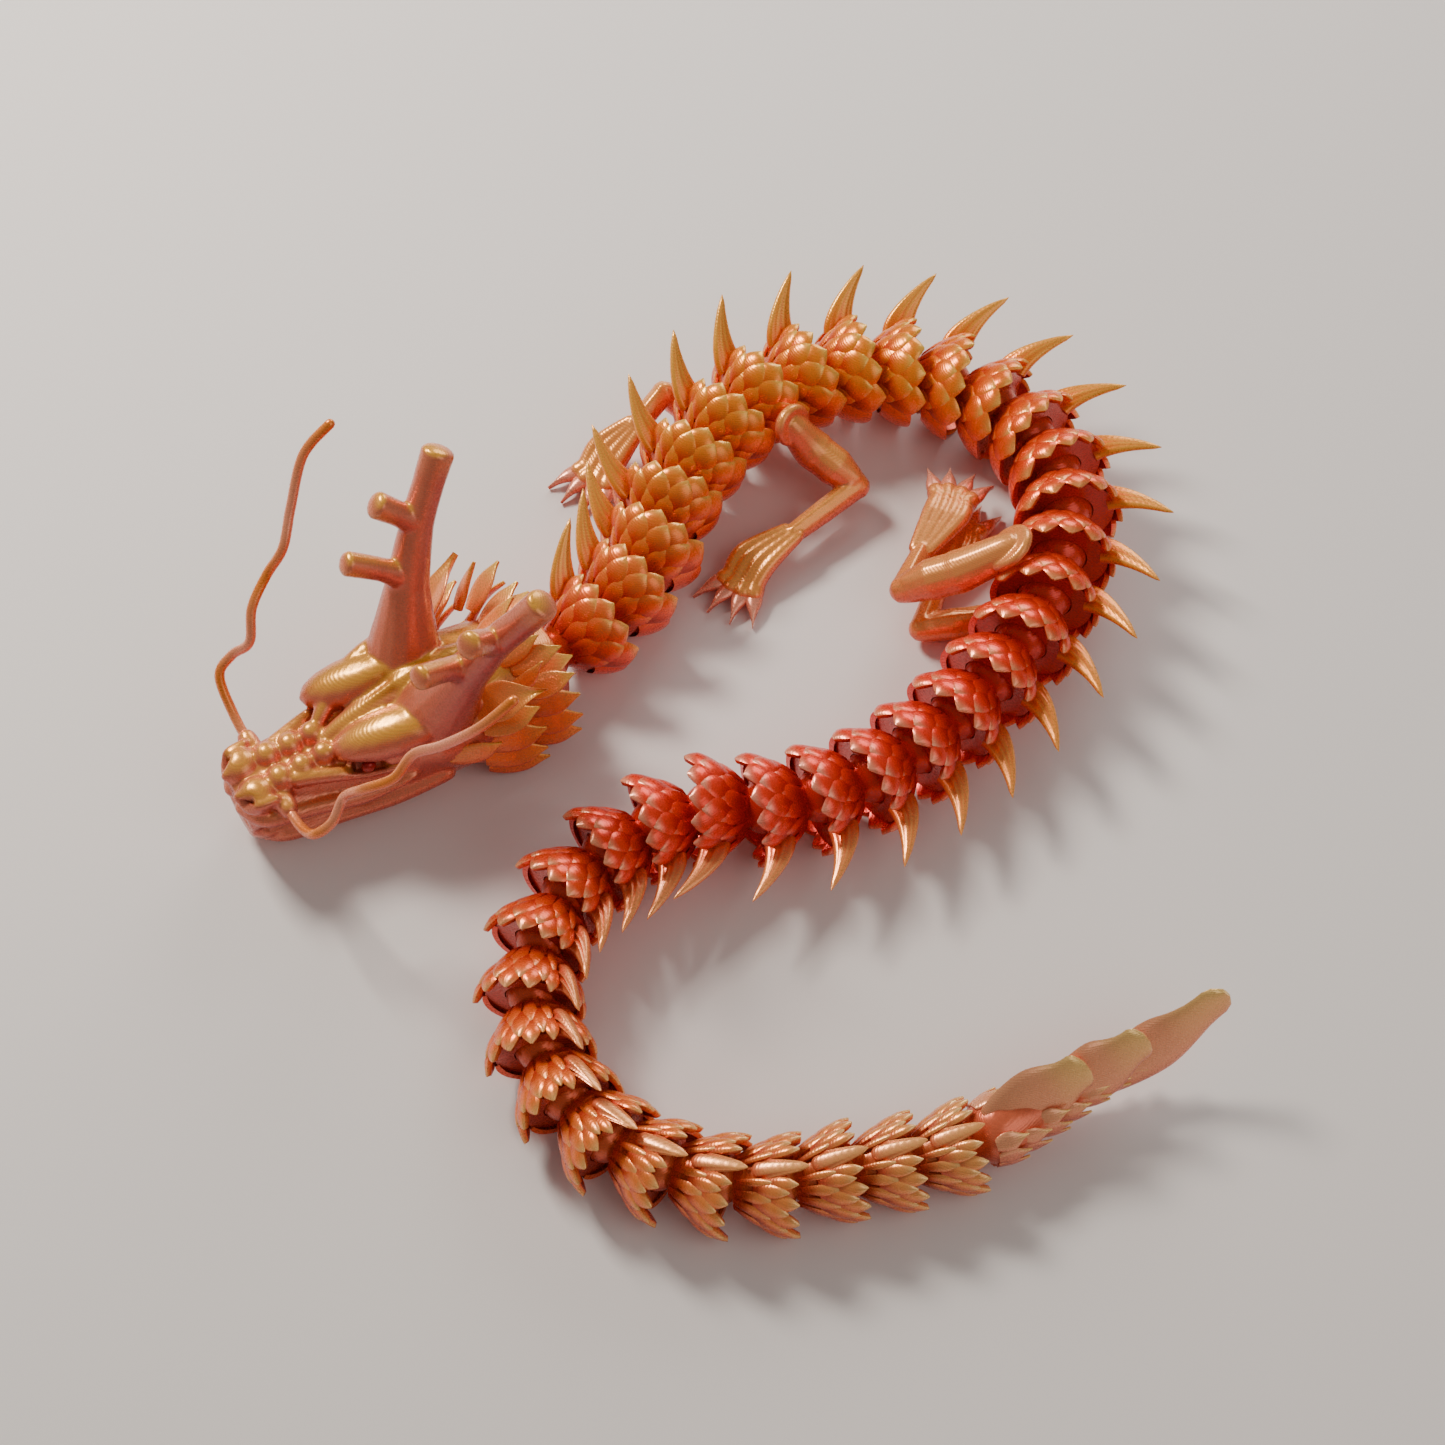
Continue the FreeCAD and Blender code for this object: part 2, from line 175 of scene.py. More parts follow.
def silk(name, metallic, roughness):
    """Painted light and shade: from the shaded to the lit colour with the normal, fine print
    layers.
    """
    material = bpy.data.materials.new(name)
    material.use_nodes = True
    tree = material.node_tree
    link = tree.links.new
    shader = tree.nodes["Principled BSDF"]
    shader.inputs["Metallic"].default_value = metallic
    shader.inputs["Coat Weight"].default_value = 0.25
    shader.inputs["Coat Roughness"].default_value = 0.16
    low = node(tree, "ShaderNodeAttribute", attribute_name="shade")
    high = node(tree, "ShaderNodeAttribute", attribute_name="lit")
    split = node(tree, "ShaderNodeSeparateXYZ")
    link(node(tree, "ShaderNodeNewGeometry").outputs["Normal"], split.inputs[0])
    # painted light and shade: faces that point up take the lit colour, the rest the shaded colour
    lean = node(tree, "ShaderNodeMapRange", interpolation_type="SMOOTHSTEP")
    lean.inputs["From Min"].default_value, lean.inputs["From Max"].default_value = -0.15, 0.85
    link(split.outputs["Z"], lean.inputs["Value"])
    turn = node(tree, "ShaderNodeMix", data_type="RGBA")
    link(low.outputs[0], turn.inputs["A"])
    link(high.outputs[0], turn.inputs["B"])
    # print layers: thin level bands with a little waver, and fine specks
    place = node(tree, "ShaderNodeTexCoord")
    apart = node(tree, "ShaderNodeSeparateXYZ")
    link(place.outputs["Object"], apart.inputs[0])
    wobble = node(tree, "ShaderNodeTexNoise")
    wobble.inputs["Scale"].default_value = 180.0
    wobble.inputs["Detail"].default_value = 2.0
    link(place.outputs["Object"], wobble.inputs["Vector"])
    bend = node(tree, "ShaderNodeMath", operation="MULTIPLY_ADD")
    bend.inputs[1].default_value = LAYER_WOBBLE
    link(wobble.outputs["Fac"], bend.inputs[0])
    link(apart.outputs["Z"], bend.inputs[2])
    beat = node(tree, "ShaderNodeMath", operation="MULTIPLY")
    beat.inputs[1].default_value = 2 * math.pi / LAYER_PAIR
    link(bend.outputs[0], beat.inputs[0])
    wave = node(tree, "ShaderNodeMath", operation="SINE")
    link(beat.outputs[0], wave.inputs[0])
    speck = node(tree, "ShaderNodeTexNoise")
    speck.inputs["Scale"].default_value = 1400.0
    speck.inputs["Detail"].default_value = 3.0
    link(place.outputs["Object"], speck.inputs["Vector"])
    # the painted shade and lit colours also alternate faintly from layer to layer, as print bands
    banded = node(tree, "ShaderNodeMath", operation="MULTIPLY_ADD", use_clamp=True)
    banded.inputs[1].default_value = 0.16
    link(wave.outputs[0], banded.inputs[0])
    link(lean.outputs["Result"], banded.inputs[2])
    link(banded.outputs[0], turn.inputs["Factor"])
    height = node(tree, "ShaderNodeMath", operation="MULTIPLY_ADD")
    height.inputs[1].default_value = 0.5
    link(wave.outputs[0], height.inputs[0])
    link(speck.outputs["Fac"], height.inputs[2])
    bump = node(tree, "ShaderNodeBump")
    bump.inputs["Strength"].default_value = 0.35
    bump.inputs["Distance"].default_value = 0.00006
    link(height.outputs[0], bump.inputs["Height"])
    link(bump.outputs["Normal"], shader.inputs["Normal"])
    # painted pale sheen at grazing angles, mixed into the base colour
    edge = node(tree, "ShaderNodeLayerWeight")
    edge.inputs["Blend"].default_value = 0.3
    gleam = node(tree, "ShaderNodeMath", operation="MULTIPLY")
    gleam.inputs[1].default_value = 0.04
    link(edge.outputs["Facing"], gleam.inputs[0])
    pale = node(tree, "ShaderNodeMix", data_type="RGBA")
    pale.inputs["B"].default_value = (1.0, 0.60, 0.30, 1)
    link(gleam.outputs[0], pale.inputs["Factor"])
    link(turn.outputs["Result"], pale.inputs["A"])
    link(pale.outputs["Result"], shader.inputs["Base Color"])
    rough = node(tree, "ShaderNodeMapRange")
    rough.inputs["To Min"].default_value = roughness - 0.08
    rough.inputs["To Max"].default_value = roughness + 0.1
    link(speck.outputs["Fac"], rough.inputs["Value"])
    link(rough.outputs["Result"], shader.inputs["Roughness"])
    return material


SILK = silk("silk", metallic=0.42, roughness=0.27)


# ------------------------------------------------------------------ link frames
def chain_frame(origin, along, roll):
    """Matrix in mm with +X along the chain and +Z out through the dorsal spine."""
    along = along.normalized()
    left = Vector((0, 0, 1)).cross(along).normalized()
    up = along.cross(left)
    angle = math.radians(roll)
    dorsal = up * math.cos(angle) + left * math.sin(angle)
    side = dorsal.cross(along)
    rows = Matrix((along, side, dorsal)).transposed().to_4x4()
    rows.translation = origin
    return rows


def link_frame(number):
    """Frame of a link: origin at its front ball's centre, +X to the next ball's."""
    start, end = CENTRES[number - 1], CENTRES[number]
    return chain_frame(start, end - start, between(ROLLS, number))


def around(x, r, degrees):
    """Point on a ring about the chain: 0 is dorsal, positive turns towards +Y."""
    angle = math.radians(degrees)
    return (x, r * math.sin(angle), r * math.cos(angle))


def rim_at(rear):
    """Where a link's skirt ends along the chain."""
    return PITCH + SKIRT_REACH * rear


def skirt(rear, x):
    """Outer radius of a link's flared skirt."""
    start, end = SKIRT_START * rear, rim_at(rear)
    share = (x - start) / (end - start)
    return rear * (0.70 + 0.30 * share + 0.16 * share * (1 - share))


def ball_profile(ball):
    """(x, radius) run of a ball's outline, from its front round to its neck."""
    angles = [math.radians(a) for a in range(0, 134, 7)]
    return [(-ball * math.cos(a), ball * math.sin(a)) for a in angles]


# ------------------------------------------------------------------ body pieces
def core(number):
    """Ball, smooth neck and the thin skirt under the scales."""
    front, rear = radius_at(number - 1), radius_at(number)
    build = Build()
    profile = ball_profile(BALL * front)
    start, rim = SKIRT_START * rear, rim_at(rear)
    inner = BALL * rear + 0.3      # the socket, 0.3 mm wider than the ball it holds
    profile += [(start - 0.6, 0.67 * rear)]
    for step in range(9):
        x = start + (rim - 0.8 - start) * step / 8
        profile.append((x, skirt(rear, x) - 0.9))
    profile += [(rim - 0.3, 0.93 * rear), (rim - 0.5, 0.89 * rear),
                (PITCH + 0.29 * inner, 0.956 * inner)]
    profile += [(PITCH + inner * math.cos(math.radians(a)), inner * math.sin(math.radians(a)))
                for a in range(80, 181, 10)]
    rows = [[around(x, max(r, 0.01), 360.0 * step / 40) for step in range(40)] for x, r in profile]
    # the ball, neck and skirt are painted dark: painted shade under the scales and inside the
    # hollow
    deep = mix(DEEP_SHADE, between(SHADE, number), 0.45)
    build.grid(rows, deep, mix(deep, between(LIT, number), 0.35), round_v=True)
    piece = build.object("core_%02d" % number, link_frame(number), sharp=60)
    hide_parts("link_%02d" % number)
    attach(piece, "link_%02d" % number)


def shield(build, place, x0, x1, middle, half, lift, thick, colours):
    """One raised scale: a domed pointed shield with a thick rear rim, closed underneath."""
    rear, side = place
    shade, lit, rim = colours
    count_s, count_t = 9, 7
    top, under, shades, lits = [], [], [], []
    for i in range(count_s):
        s = i / (count_s - 1)
        if s < 0.5:
            spread = 0.70 + 0.30 * math.sin(math.pi * s)
        else:
            spread = 1 - 0.93 * ((s - 0.5) / 0.5) ** 1.9
        row, low = [], []
        for j in range(count_t):
            t = 2 * j / (count_t - 1) - 1
            x = x0 + (x1 - x0) * s - 0.4 * t * t * (1 - s)
            base = skirt(rear, min(x, rim_at(rear))) - 0.3
            dome = thick * (0.30 + 0.50 * math.sqrt(max(0.0, 1 - t ** 4 * 0.95))
                            + 0.20 * (1 - abs(t)))
            rise = lift * s ** 1.3 + dome * (0.55 + 0.45 * math.sin(math.pi * min(1.0, s * 1.1)))
            if i == count_s - 1:
                rise -= 0.25 * thick
            angle = side * (middle + math.degrees(half * spread * t / rear))
            row.append(around(x, base + rise, angle))
            low.append(around(x - 0.25, base + lift * s ** 1.3 - 0.75 * thick,
                              side * (middle + math.degrees(half * spread * t * 0.9 / rear))))
        top.append(row)
        under.append(low)
        # painted shade on the covered front of the scale, painted highlight along its rear rim
        rim_glint = float(smooth(0.62, 1.0, s))
        darker = mix(DEEP_SHADE, shade, 0.15 + 0.85 * float(smooth(0.1, 0.6, s)))
        brighter = mix(mix(DEEP_SHADE, shade, 0.6), lit, float(smooth(0.05, 0.6, s)))
        shades.append(mix(darker, rim, 0.45 * rim_glint))
        lits.append(mix(brighter, rim, 0.85 * rim_glint))
    if side < 0:
        top, under = [r[::-1] for r in top], [r[::-1] for r in under]
    a = build.grid(top, shades, lits)
    # underside in painted shade
    b = build.grid([r[::-1] for r in under], DEEP_SHADE, shade)
    loop = [(i, 0) for i in range(count_s)] + [(count_s - 1, j) for j in range(1, count_t)]
    loop += [(i, count_t - 1) for i in range(count_s - 2, -1, -1)]
    loop += [(0, j) for j in range(count_t - 2, 0, -1)]
    upper = [a + i * count_t + j for i, j in loop]
    lower = [b + i * count_t + (count_t - 1 - j) for i, j in loop]
    for n in range(len(loop)):
        m = (n + 1) % len(loop)
        build.faces.append((upper[n], lower[n], lower[m], upper[m]))


# (middle angle, half width over radius), and how far past the rim the rear column reaches
REAR_COLUMN = [(126, 0.36, 3.6), (96, 0.31, 3.0), (69, 0.29, 2.8), (44, 0.25, 2.6), (21, 0.18, 2.2)]
MID_COLUMN = [(113, 0.31), (83, 0.30), (56, 0.27), (31, 0.20)]
FRONT_COLUMN = [(127, 0.24), (98, 0.27), (70, 0.26), (44, 0.22), (20, 0.14)]


def scales(number):
    """Overlapping shields in three columns on each flank, narrower and steeper on the tail."""
    rear = radius_at(number)
    tail = float(smooth(26, 34, number))
    rim_x = rim_at(rear)
    colours = (between(SHADE, number), between(LIT, number), between(RIM_HIGHLIGHT, number))
    build = Build()
    slim = 1 - 0.22 * tail
    for side in (-1, 1):
        place = (rear, side)
        for middle, half in FRONT_COLUMN:
            shield(build, place, 0.46 * rear, rim_x - 4.0 + 1.0 * tail, middle,
                   half * rear * slim, 0.6 + 0.5 * tail, 0.95, colours)
        for middle, half in MID_COLUMN:
            shield(build, place, rim_x - 8.4, rim_x - 0.4 + 0.8 * tail, middle,
                   half * rear * slim, 1.25 + 0.7 * tail, 1.3, colours)
        for middle, half, beyond in REAR_COLUMN:
            shield(build, place, rim_x - 6.0, rim_x + beyond + 0.3 * tail, middle,
                   half * rear * slim, 1.2 + 0.9 * tail, 1.35, colours)
    piece = build.object("scales_%02d" % number, link_frame(number), sharp=42)
    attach(piece, "link_%02d" % number)


def belly(number):
    """Broad smooth plate along the underside, its rear edge rounded and turned in."""
    rear = radius_at(number)
    build = Build()
    rows = []
    shade, lit = between(SHADE, number), between(LIT, number)
    start, end = 0.70 * rear, rim_at(rear)
    for i in range(11):
        s = i / 10
        row = []
        for j in range(17):
            t = 2 * j / 16 - 1
            x = start + (end + 0.9 * (1 - t * t) - start) * s
            proud = 0.035 * rear * (1 - abs(t) ** 6) + 0.25 * math.sin(math.pi * s)
            row.append(around(x, skirt(rear, min(x, end)) + proud - 0.15, 180 + BELLY_HALF * t))
        rows.append(row)
    rows.append([around(p[0] - 0.3, 0.90 * rear, 180 + BELLY_HALF * (2 * j / 16 - 1))
                 for j, p in enumerate(rows[-1])])
    build.grid(rows, shade, lit)
    piece = build.object("belly_%02d" % number, link_frame(number), sharp=50)
    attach(piece, "link_%02d" % number)


def blade(number):
    """Dorsal spine: a leaf section swept back and up, with three long grooves on each face."""
    rear = radius_at(number)
    low = between([(26, 0.0), (33, 1.0), (LINKS, 1.0)], number)     # the tail's lie low
    height = 0.95 * rear * (1 - 0.80 * low) + 0.2 * rear
    sweep = PITCH * (0.76 - 0.10 * low)
    chord = 0.60 * rear * (1 + 0.20 * low)
    root_x = 0.74 * rear + 0.45 * rear * (1 + 0.25 * low) / 2 + 1.2
    steps, ring = 15, 28
    rows, shades, lits = [], [], []
    shade, lit = between(SHADE, number), between(SPINE_LIT, number)
    # rim is a painted highlight colour; middle lies halfway from painted shade to painted light
    rim, middle = mix(lit, (1.0, 0.62, 0.16), 0.45), mix(shade, lit, 0.6)
    for i in range(steps):
        s = i / (steps - 1)
        narrow = 1 - 0.80 * s ** 1.7
        if s >= 0.88:
            narrow *= math.sqrt(max(0.03, (1 - s) / 0.12))
        row, darker, brighter = [], [], []
        share = float(smooth(0.05, 0.5, s))
        for j in range(ring):
            a = 2 * math.pi * j / ring
            u = math.cos(a)
            groove = sum(math.exp(-((u - c) / 0.13) ** 2) for c in (-0.5, 0.0, 0.5))
            groove *= (1 - s) ** 0.5
            wide = (2.0 + 1.2 * low) * (1 - 0.36 * groove) * narrow ** 0.8
            wide *= 0.55 + 0.45 * rear / 15
            x = root_x + sweep * s ** 1.7 + chord / 2 * narrow * u
            up = 0.80 * rear + height * s + 0.5 * narrow * u * s * (1 - low)
            row.append((x, wide * math.sin(a), up))
            # painted shade darkens the root and the grooves; painted highlight brightens towards
            # the tip
            groove_shade = min(1.0, 0.9 * groove)
            dark = mix(mix(DEEP_SHADE, shade, 0.5), middle, share)
            bright = mix(middle, mix(lit, rim, 0.3 + 0.7 * s), share)
            darker.append(mix(dark, shade, 0.8 * groove_shade))
            brighter.append(mix(bright, shade, 0.7 * groove_shade))
        rows.append(row)
        shades.append(darker)
        lits.append(brighter)
    build = Build()
    first = build.grid(rows, shades, lits, round_v=True)
    build.cap(first, ring, True)
    build.cap(first + (steps - 1) * ring, ring)
    piece = build.object("spine_%02d" % number, link_frame(number), sharp=70)
    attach(piece, "link_%02d" % number)


# ------------------------------------------------------------------ sculpted pieces
def path_through(points, radii, steps=7):
    """Smooth run of (point, radius) through the given ones."""
    at = [Vector(p) for p in points]
    run = []
    for n in range(len(at) - 1):
        a, b = at[max(n - 1, 0)], at[n]
        c, d = at[n + 1], at[min(n + 2, len(at) - 1)]
        for step in range(steps):
            t = step / steps
            spot = 0.5 * (2 * b + (c - a) * t + (2 * a - 5 * b + 4 * c - d) * t * t
                          + (3 * b - a - 3 * c + d) * t ** 3)
            run.append((spot, radii[n] + (radii[n + 1] - radii[n]) * t))
    run.append((at[-1], radii[-1]))
    return run


def axes_at(run, n, up):
    """Two directions square to a run at one of its points: the one nearest up, and across."""
    along = (run[min(n + 1, len(run) - 1)][0] - run[max(n - 1, 0)][0]).normalized()
    high = (Vector(up) - along * along.dot(Vector(up))).normalized()
    return high, along.cross(high)


def turns(count):
    """Angles of a full turn in equal steps."""
    return [2 * math.pi * j / count for j in range(count)]


def tube(build, points, radii, flat=1.0, ring=16, steps=7, blunt=1.0):
    """Closed tube with rounded ends; flat squeezes it from above, blunt shortens the ends."""
    run = path_through(points, radii, steps)
    first, last = run[0], run[-1]
    nose = (run[1][0] - first[0]).normalized()
    tip = (last[0] - run[-2][0]).normalized()
    ends_a = [(first[0] - nose * first[1] * blunt * math.sin(a), first[1] * math.cos(a))
              for a in (1.5, 1.1, 0.6)]
    ends_b = [(last[0] + tip * last[1] * blunt * math.sin(a), last[1] * math.cos(a))
              for a in (0.6, 1.1, 1.5)]
    run = ends_a + run + ends_b
    rows = []
    for n, (spot, r) in enumerate(run):
        high, wide = axes_at(run, n, (0, 0, 1))
        rows.append([tuple(spot + wide * r * math.cos(a) + high * r * flat * math.sin(a))
                     for a in turns(ring)])
    start = build.grid(rows, DEEP_SHADE, DEEP_SHADE, round_v=True)
    build.cap(start, ring, True)
    build.cap(start + (len(rows) - 1) * ring, ring)


def lump(build, centre, axes, ring=16):
    """Ellipsoid with three half-axis vectors."""
    a, b, c = (Vector(v) for v in axes)
    rows = []
    for i in range(1, ring):
        t = math.pi * i / ring
        rows.append([tuple(Vector(centre) + c * math.cos(t)
                           + (a * math.cos(v) + b * math.sin(v)) * math.sin(t))
                     for v in turns(ring)])
    start = build.grid(rows, DEEP_SHADE, DEEP_SHADE, round_v=True)
    build.cap(start, ring, True)
    build.cap(start + (ring - 2) * ring, ring)


def leaf(build, points, width, thick, up, colours, grooves=3, curl=0.0, point=0.45):
    """Leaf or tuft: widest 0.4 of the way, thin edges, raised ridges, narrowing from point on."""
    shade, lit, rim = colours
    run = path_through(points, [1.0] * len(points), 6)
    count, ring = len(run), 20
    rows, shades, lits = [], [], []
    for n, (spot, _) in enumerate(run):
        s = n / (count - 1)
        high, wide = axes_at(run, n, up)
        spread = width * (0.62 + 0.38 * math.sin(math.pi * min(1.0, s / 0.8)))
        spread = spread * (1 - smooth(point, 1.06, s)) + 0.08
        row = []
        for a in turns(ring):
            u = math.cos(a)
            ridge = 1 - 0.30 * (0.5 + 0.5 * math.cos(grooves * math.pi * u)) * (1 - s)
            deep = thick * ridge * (1 - 0.65 * s)
            bulge = deep * math.sin(a) + curl * width * u * u
            row.append(tuple(spot + wide * spread * u + high * bulge))
        rows.append(row)
        # painted shade at the root, painted highlight towards the tip
        shades.append(mix(mix(DEEP_SHADE, shade, 0.5), shade, float(smooth(0, 0.5, s))))
        lits.append(mix(lit, rim, float(smooth(0.5, 1.0, s))))
    start = build.grid(rows, shades, lits, round_v=True)
    build.cap(start, ring, True)
    build.cap(start + (count - 1) * ring, ring)


def melted(build, name, voxel, rounds):
    """The build's lumps and tubes melted into one skin: its mesh, and its points in mm."""
    raw = build.object(name + "_raw")
    remesh = raw.modifiers.new("melt", "REMESH")
    remesh.mode, remesh.voxel_size = "VOXEL", voxel * MM
    relax = raw.modifiers.new("relax", "SMOOTH")
    relax.factor, relax.iterations = 0.5, rounds
    depsgraph = bpy.context.evaluated_depsgraph_get()
    mesh = bpy.data.meshes.new_from_object(raw.evaluated_get(depsgraph))
    bpy.data.objects.remove(raw)
    mesh.name = name
    points = np.empty(len(mesh.vertices) * 3)
    mesh.vertices.foreach_get("co", points)
    return mesh, points.reshape(-1, 3) / MM


def normals_of(mesh):
    found = np.empty(len(mesh.vertices) * 3, np.float32)
    mesh.vertex_normals.foreach_get("vector", found)
    return found.reshape(-1, 3)


def reach(points, path):
    """Distance from every point to a polyline."""
    best = np.full(len(points), 1e9)
    for a, b in zip(path, path[1:]):
        a, b = np.array(a, float), np.array(b, float)
        along = b - a
        share = np.clip((points - a) @ along / (along @ along), 0, 1)
        best = np.minimum(best, np.linalg.norm(points - a - share[:, None] * along, axis=1))
    return best


def carve(points, normals, path, width, depth):
    """Pushes a groove (or a ridge, with a negative depth) along a path; returns its weight."""
    weight = np.exp(-(reach(points, path) / width) ** 2)
    points -= normals * (weight * depth)[:, None]
    return weight


def set_points(mesh, points, place=None):
    """Writes points in mm to a mesh in metres, through a frame if one is given."""
    if place is not None:
        rotation, shift = np.array(place.to_3x3()), np.array(place.translation)
        points = points @ rotation.T + shift
    mesh.vertices.foreach_set("co", (points * MM).astype(np.float32).ravel())
    mesh.update()


def finish_skin(mesh, name, body, shade, lit):
    """Smooth, painted object of a melted mesh, riding on a body."""
    mesh.polygons.foreach_set("use_smooth", np.ones(len(mesh.polygons), bool))
    for layer in list(mesh.color_attributes):
        mesh.color_attributes.remove(layer)
    paint(mesh, shade, lit)
    mesh.materials.clear()
    mesh.materials.append(SILK)
    piece = bpy.data.objects.new(name, mesh)
    bpy.context.scene.collection.objects.link(piece)
    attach(piece, body)
    return piece


def tinted(count, colour):
    """One colour for every point."""
    return np.tile(np.array(colour, float), (count, 1))


def toward(colours, colour, weight):
    """Point colours moved toward one colour by a weight for each point."""
    return colours + (np.array(colour, float) - colours) * weight[:, None]


# ------------------------------------------------------------------ head, mm forward, left, up
HEAD_HEADING = math.atan2(CENTRES[1].y - CENTRES[0].y, CENTRES[1].x - CENTRES[0].x)
FACE = HEAD_HEADING - math.radians(HEAD_TURN) + math.pi
HEAD_FRAME = Matrix.Rotation(FACE, 4, "Z")
HEAD_FRAME.translation = (CENTRES[0].x, CENTRES[0].y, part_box("head")[0][2] / MM)
# ROSE and MAUVE make the head's painted shade colour and BLUSH its painted lit colour; the gold is
# a painted highlight on faces that point up
ROSE, MAUVE, GOLD_HIGHLIGHT = (0.58, 0.075, 0.045), (0.40, 0.055, 0.055), (1.0, 0.50, 0.03)
BLUSH = (0.80, 0.19, 0.12)

# forward, half width, bottom, top
SKULL = [(-3, 11.0, 2.5, 25.0), (6, 14.0, 1.5, 30.0), (16, 16.6, 0.6, 33.0), (28, 18.0, 0.3, 34.5),
         (40, 17.4, 0.3, 34.5), (50, 15.6, 0.3, 31.0), (60, 12.8, 0.4, 27.0), (70, 11.0, 0.8, 25.5),
         (80, 10.6, 1.6, 26.0), (87, 10.0, 3.0, 26.0), (91, 8.0, 6.0, 24.0)]
HORN = [(36, 9, 30), (33, 12, 38), (28, 16.5, 52), (21, 21.5, 67), (15, 25, 76), (10.2, 27.5, 83)]
HORN_RADII = [11.0, 9.0, 5.8, 4.4, 4.2, 4.5]
LOW_TINE = [(28, 16.5, 54), (34, 18, 60), (42.2, 20.3, 65.8)]
MID_TINE = [(21, 21.5, 67), (25, 23, 72), (29.8, 25, 76.8)]
WHISKER_ROOT, WHISKER_RADIUS = (81, 8.5, 22.6), 1.35
WHISKER = [(81, 10.0, 23.0), (81, 20, 26), (80, 28, 33), (75, 29.5, 37), (70, 27.5, 42),
           (66, 32, 49), (59, 36, 54), (53, 36.5, 61), (47, 42, 68), (39, 48, 78), (30, 49, 84)]


def mirrored(point, side):
    return (point[0], point[1] * side, point[2])


def skull_rows(ring):
    """Rounded-box rings of the skull from the neck to the nose."""
    rows = []
    for forward, half, low, high in SKULL:
        tall, middle = (high - low) / 2, (high + low) / 2
        row = []
        for a in turns(ring):
            c, s = math.cos(a), math.sin(a)
            row.append((forward, half * math.copysign(abs(c) ** 0.8, c),
                        middle + tall * math.copysign(abs(s) ** 0.85, s)))
        rows.append(row)
    return rows


def head_lumps():
    """Everything the head is melted from."""
    build = Build()
    ring = 36
    rows = skull_rows(ring)
    first = build.grid(rows, DEEP_SHADE, DEEP_SHADE, round_v=True)
    build.cap(first, ring, True)
    build.cap(first + (len(rows) - 1) * ring, ring)
    for side in (-1, 1):
        def at(*p):
            return mirrored(p, side)
        tube(build, [at(*p) for p in HORN], HORN_RADII, blunt=0.35)
        tube(build, [at(*p) for p in LOW_TINE], [4.2, 3.2, 3.4], blunt=0.4)
        tube(build, [at(*p) for p in MID_TINE], [4.2, 3.4, 3.8], blunt=0.4)
        # brow pad, cheek, jaw angle, lips, nostril flare, whisker collar
        lump(build, at(48, 9.6, 30.5), [(16.5, -4.4, -3.0), (2.0, 7.6, 1.0), (1.2, 0, 6.6)])
        tube(build, [at(63, 5.4, 28), at(54, 10.8, 31.5), at(44, 14.0, 33), at(34, 14.5, 35)],
             [2.0, 3.2, 3.6, 3.0])
        lump(build, at(34, 13.5, 20), [(14, -2, 0), (0, 6.6, 0), (0, 0, 9)])
        lump(build, at(20, 13.5, 12), [(12, 0, 0), (0, 6, 0), (0, 0, 9)])
        tube(build, [at(90, 3.5, 19.4), at(86, 9.4, 18.6), at(74, 11.6, 17.2), at(60, 14.4, 15.6),
                     at(47, 16.6, 17)], [2.6, 2.5, 2.3, 2.4, 1.6])
        tube(build, [at(88, 3.5, 8), at(82, 8.8, 8), at(68, 11.2, 8), at(52, 14.4, 9),
                     at(38, 17, 12)], [3.2, 3.0, 2.8, 2.8, 2.4])
        lump(build, at(86.4, 5.2, 24.6), [(5.4, 0.8, 0), (-0.6, 5.4, 0), (0, 0, 4.4)])
        tube(build, [at(90.5, 4.0, 25.6), at(88, 8.6, 26.2), at(83, 9.8, 26.4)], [1.9, 1.9, 1.4])
        lump(build, at(79, 4.0, 25.4), [(3.6, -1.0, 0), (1.0, 3.9, 0), (0, 0, 3.8)])
        lump(build, at(72.4, 3.8, 25.2), [(3.5, -1.0, 0), (1.0, 3.7, 0), (0, 0, 3.8)])
        lump(build, at(66.0, 3.6, 26.0), [(3.4, -0.8, 0), (0.8, 3.4, 0), (0, 0, 3.8)])
        tube(build, [at(76, 6.4, 25.5), at(67, 9.4, 24.5), at(58, 12.4, 23.0), at(49, 15.6, 23.5)],
             [2.2, 2.1, 2.0, 1.4])
        tube(build, [at(*WHISKER_ROOT), at(81, 12.4, 23.8)], [3.3, 2.7])
        # fold behind the eye and ridge up to the antler
        tube(build, [at(52, 15.0, 28), at(42, 17.0, 29), at(32, 16.6, 31), at(24, 15, 34)],
             [1.9, 2.3, 2.2, 1.4])
    # ridge down the middle of the head
    tube(build, [(14, 0, 30), (26, 0, 33), (38, 0, 33.5), (52, 0, 30), (64, 0, 26)],
         [4.5, 5.0, 5.0, 4.0, 2.5])
    return build


